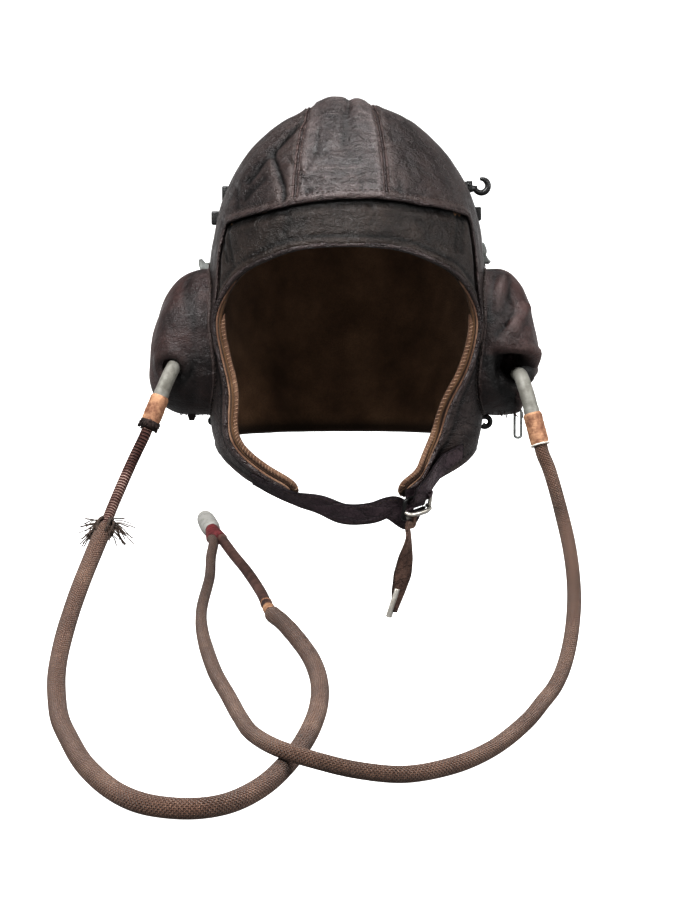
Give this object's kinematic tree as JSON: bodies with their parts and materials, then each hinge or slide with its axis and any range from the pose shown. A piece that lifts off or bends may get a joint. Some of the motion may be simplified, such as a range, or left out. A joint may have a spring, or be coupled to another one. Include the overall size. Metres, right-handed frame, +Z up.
{
  "type": "leather flying helmet",
  "caption": "Leather flying helmet with padded ear cups, open face, buckled chin strap and braided speaking hoses that join in one connector.",
  "frame": {"origin": "the crown's seat, inside the lining at the top, where the head holds the helmet up", "axes": "+Z up, -Y out of the face opening, +X towards the side with the buckle; the helmet leans back 10 degrees about X as pictured"},
  "size_m": [0.2832, 0.5203, 0.295],
  "materials": {
    "crown": "worn smooth leather, slight sheen",
    "side": "worn leather",
    "brow": "dark smooth leather",
    "cup": "creased soft leather",
    "lining": "suede",
    "strap": "folded strap leather",
    "stub": "worn grey-green",
    "sleeve": "wound tape",
    "rubber": "ribbed, matt",
    "braid": "woven braid over tubing",
    "tape": "wound tape",
    "ferrule": "worn pale grey",
    "black": "black enamel",
    "grey": "dull grey",
    "silver": "worn plated metal"
  },
  "bodies": {
    "root": {"brow_band": "brow", "crown_center": "crown", "side_left": "side", "side_right": "side", "lining": "lining", "ear_cup_left": "cup", "ear_cup_right": "cup", "stub_left": "stub", "stub_right": "stub", "sleeve_left": "sleeve", "sleeve_right": "sleeve", "chin_strap": "strap", "buckle": "silver", "buckle_strap": "strap", "strap_tip": "silver", "hook_plate_left": "black", "strap_tab_right": "black", "strap_tab_left": "black", "lower_stud_left": "black", "upper_hook_right": "black", "lower_hook_right": "black", "clip_left": "grey", "clip_right": "grey", "zip_pull_left": "grey", "zip_pull_right": "grey", "hose_left_tube": "rubber", "hose_left_braid": "braid", "hose_left_tail": "rubber", "hose_right": "braid", "hose_right_tail": "braid", "joint_tape": "tape", "ferrule": "ferrule"}
  },
  "joints": []
}
